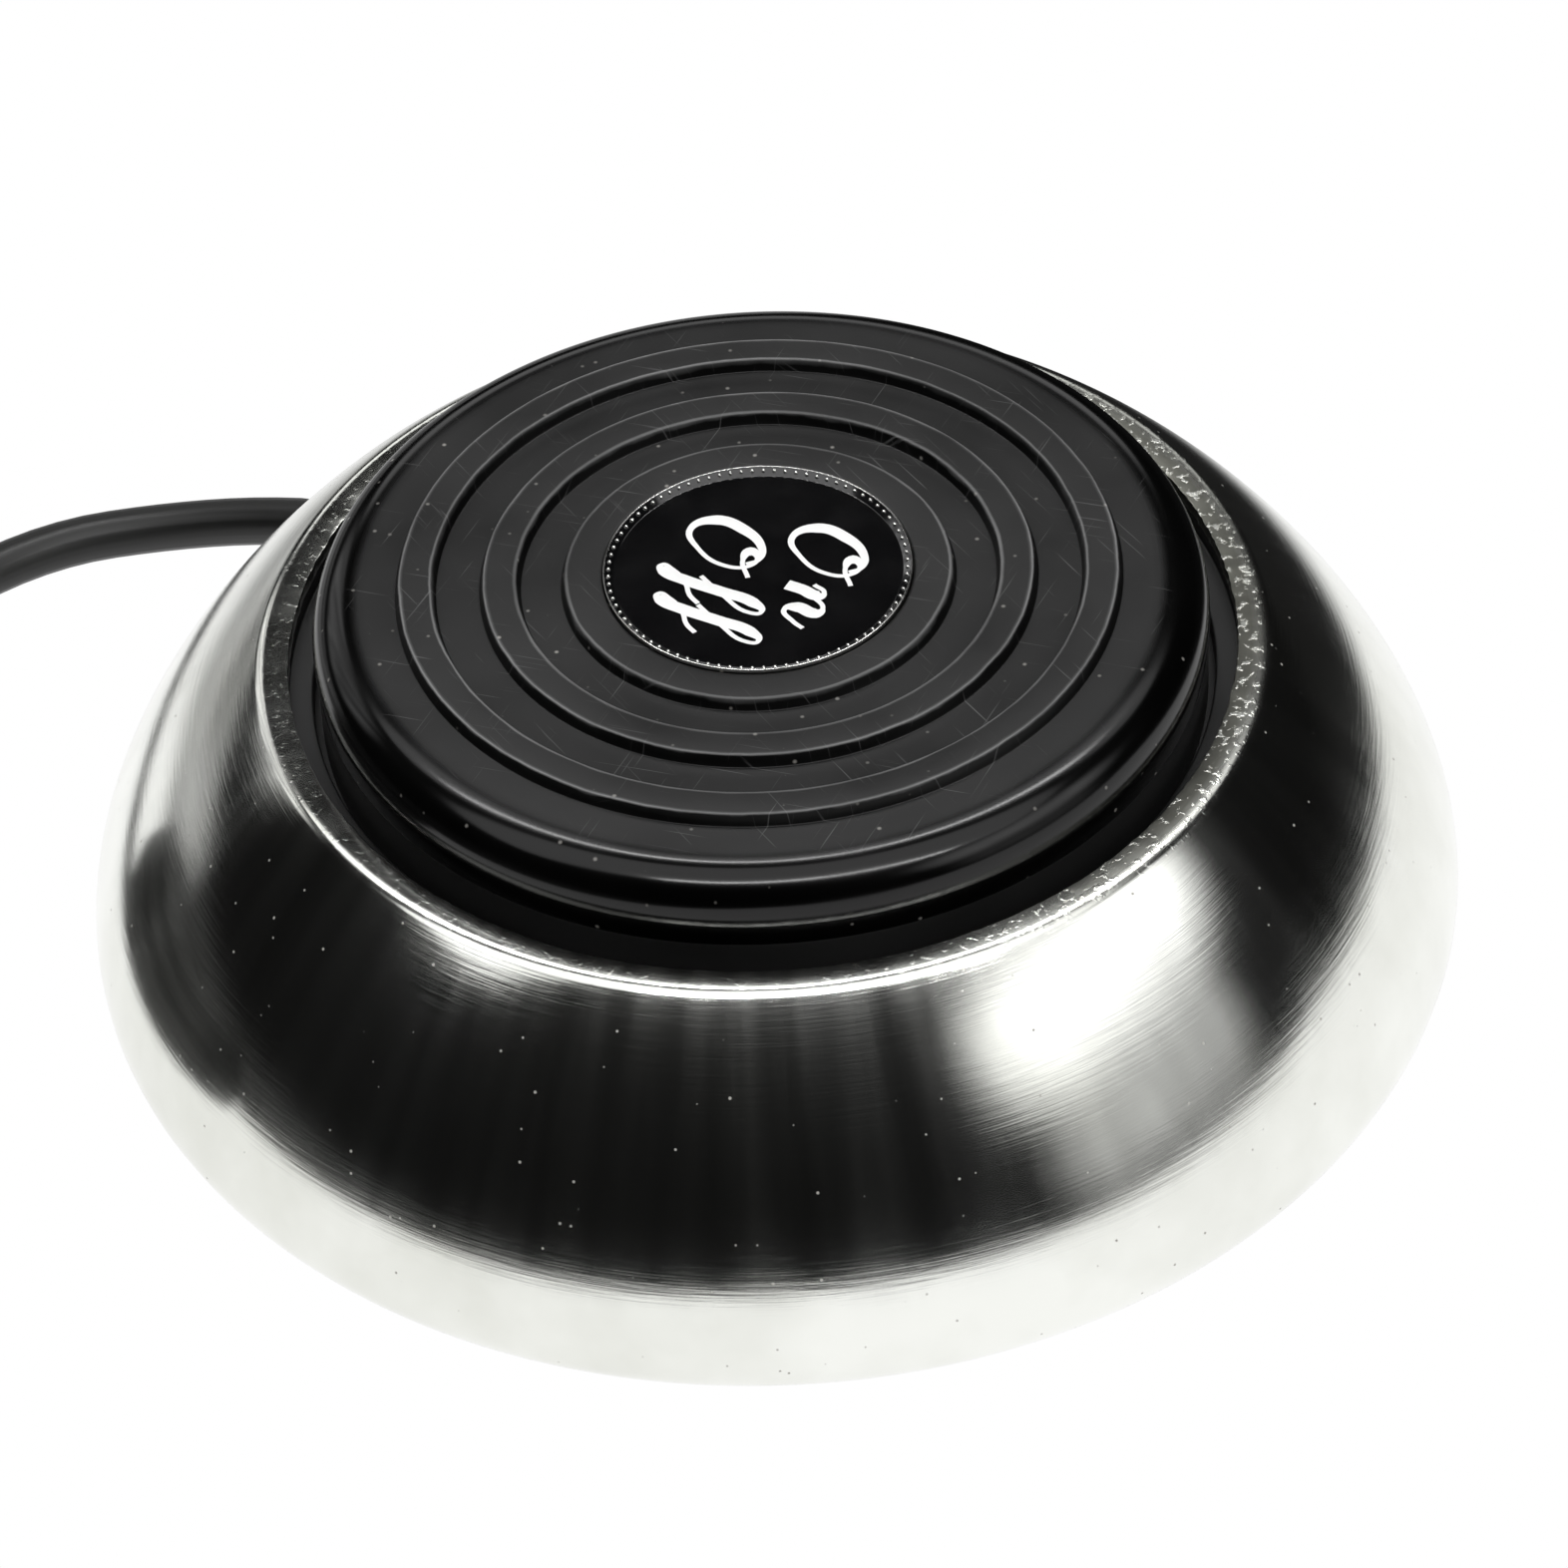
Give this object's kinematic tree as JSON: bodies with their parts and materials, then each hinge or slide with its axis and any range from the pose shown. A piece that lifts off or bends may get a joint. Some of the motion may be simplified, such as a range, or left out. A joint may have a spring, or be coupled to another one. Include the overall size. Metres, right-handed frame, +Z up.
{
  "type": "foot switch",
  "caption": "Round foot switch: a polished domed metal shell, a sprung black rubber pedal with raised rings and a badge, and a thin black lead with a jack plug.",
  "frame": {"origin": "on the floor, under the middle of the shell", "axes": "+Z up out of the pedal, -Y towards the viewer of the picture, the lead leaves at the back left"},
  "size_m": [0.2121, 0.1201, 0.0388],
  "materials": {
    "shell_steel": "polished with fine brush marks",
    "tread_rubber": "hard black rubber, satin",
    "mat_rubber": "matt black rubber",
    "ring_plastic": "black moulded plastic",
    "carrier_plastic": "black moulded plastic",
    "plated_steel": "zinc plated",
    "screw_steel": "nickel plated",
    "bright_steel": "ground steel",
    "spring_steel": "drawn spring wire",
    "badge_metal": "bright plated",
    "badge_enamel": "gloss black",
    "case_plastic": "black moulded plastic",
    "plunger_plastic": "red moulded plastic",
    "terminal_brass": "brass strip",
    "anchor_plastic": "black moulded plastic",
    "wire_black": "black insulation",
    "wire_red": "red insulation",
    "grommet_rubber": "soft black rubber",
    "lead_plastic": "black flexible sheath",
    "tie_plastic": "black strap",
    "plug_plastic": "black moulded plastic",
    "plug_metal": "nickel plated"
  },
  "bodies": {
    "housing": {"shell": "shell_steel", "guide_ring": "ring_plastic", "base_plate": "plated_steel", "floor_mat": "mat_rubber", "fixing_tabs": "plated_steel", "base_screws": "screw_steel", "guide_post": "bright_steel", "spring_seat": "plated_steel", "switch_case": "case_plastic", "lever_pin": "bright_steel", "switch_bracket": "plated_steel", "bracket_rivets": "bright_steel", "switch_screws": "screw_steel", "switch_terminals": "terminal_brass", "cord_grommet": "grommet_rubber", "cord_anchor": "anchor_plastic", "anchor_screws": "screw_steel", "low_wire": "wire_black", "high_wire": "wire_red", "cord": "lead_plastic", "cord_coil": "lead_plastic", "coil_tie": "tie_plastic", "cord_tail": "lead_plastic", "jack_boot": "plug_plastic", "jack_handle": "plug_plastic", "jack_sleeve": "plug_metal", "jack_insulator": "plug_plastic", "jack_tip": "plug_metal"},
    "pedal": {"pedal_carrier": "carrier_plastic", "pedal_pad": "tread_rubber", "badge_dish": "badge_metal", "badge_face": "badge_enamel", "return_spring": "spring_steel"},
    "lever": {"switch_lever": "spring_steel"},
    "plunger": {"switch_plunger": "plunger_plastic"}
  },
  "joints": [
    {"name": "pedal_press", "type": "slide", "parent": "housing", "child": "pedal", "axis": [0, 0, -1], "range_m": [0, 0.0035], "stiffness_N_per_m": 800, "springref_m": -0.006, "deforming": ["return_spring"]},
    {"name": "lever_swing", "type": "hinge", "parent": "housing", "child": "lever", "pos_m": [0.02, 0.0105, 0.0226], "axis": [1, 0, 0], "range_deg": [0, 9.9]},
    {"name": "plunger_press", "type": "slide", "parent": "housing", "child": "plunger", "axis": [0, 0, -1], "range_m": [0, 0.00132]}
  ],
  "couplings": [
    {"joint": "lever_swing", "follows": "pedal_press", "rad_per_m": 49.114},
    {"joint": "plunger_press", "follows": "pedal_press", "ratio": 0.375}
  ]
}
